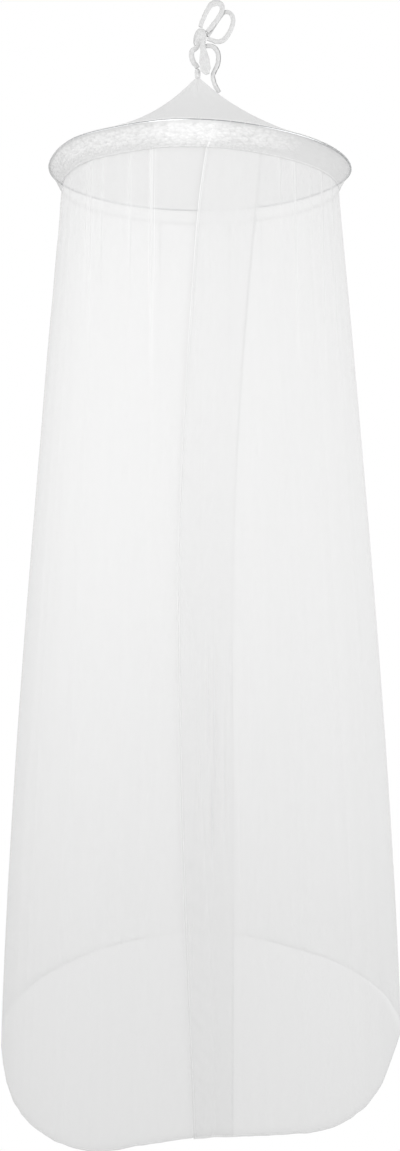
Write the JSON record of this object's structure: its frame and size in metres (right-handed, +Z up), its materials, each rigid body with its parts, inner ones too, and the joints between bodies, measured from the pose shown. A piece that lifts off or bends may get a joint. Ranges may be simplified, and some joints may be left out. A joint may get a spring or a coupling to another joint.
{
  "type": "mosquito net canopy with hoop",
  "caption": "Round net bed canopy hung by a knotted tape: cone crown over a thin hoop, ruched band and one long wrap-over net panel.",
  "frame": {"origin": "where the hook bears, inside the top of the hanging loop", "axes": "+Z up, -Y towards the front overlap of the net, +X to the right as seen from the front"},
  "size_m": [0.8568, 0.8615, 2.2861],
  "materials": {
    "tape": "soft white woven tape, matt",
    "crown_cloth": "dense fine white net, half see-through",
    "hoop_rod": "polished bright steel rod",
    "band_cloth": "white net gathered into fine puckers",
    "drop_cloth": "sheer white polyester net with hemmed edges"
  },
  "bodies": {
    "root": {"hanging_loop": "tape", "bow_loop": "tape", "tie_knot": "tape", "tie_leg_left": "tape", "tie_leg_right": "tape", "tie_tail": "tape", "apex_binding": "tape", "crown_net": "crown_cloth", "hoop": "hoop_rod", "ruched_band": "band_cloth", "drop_net": "drop_cloth"}
  },
  "joints": []
}
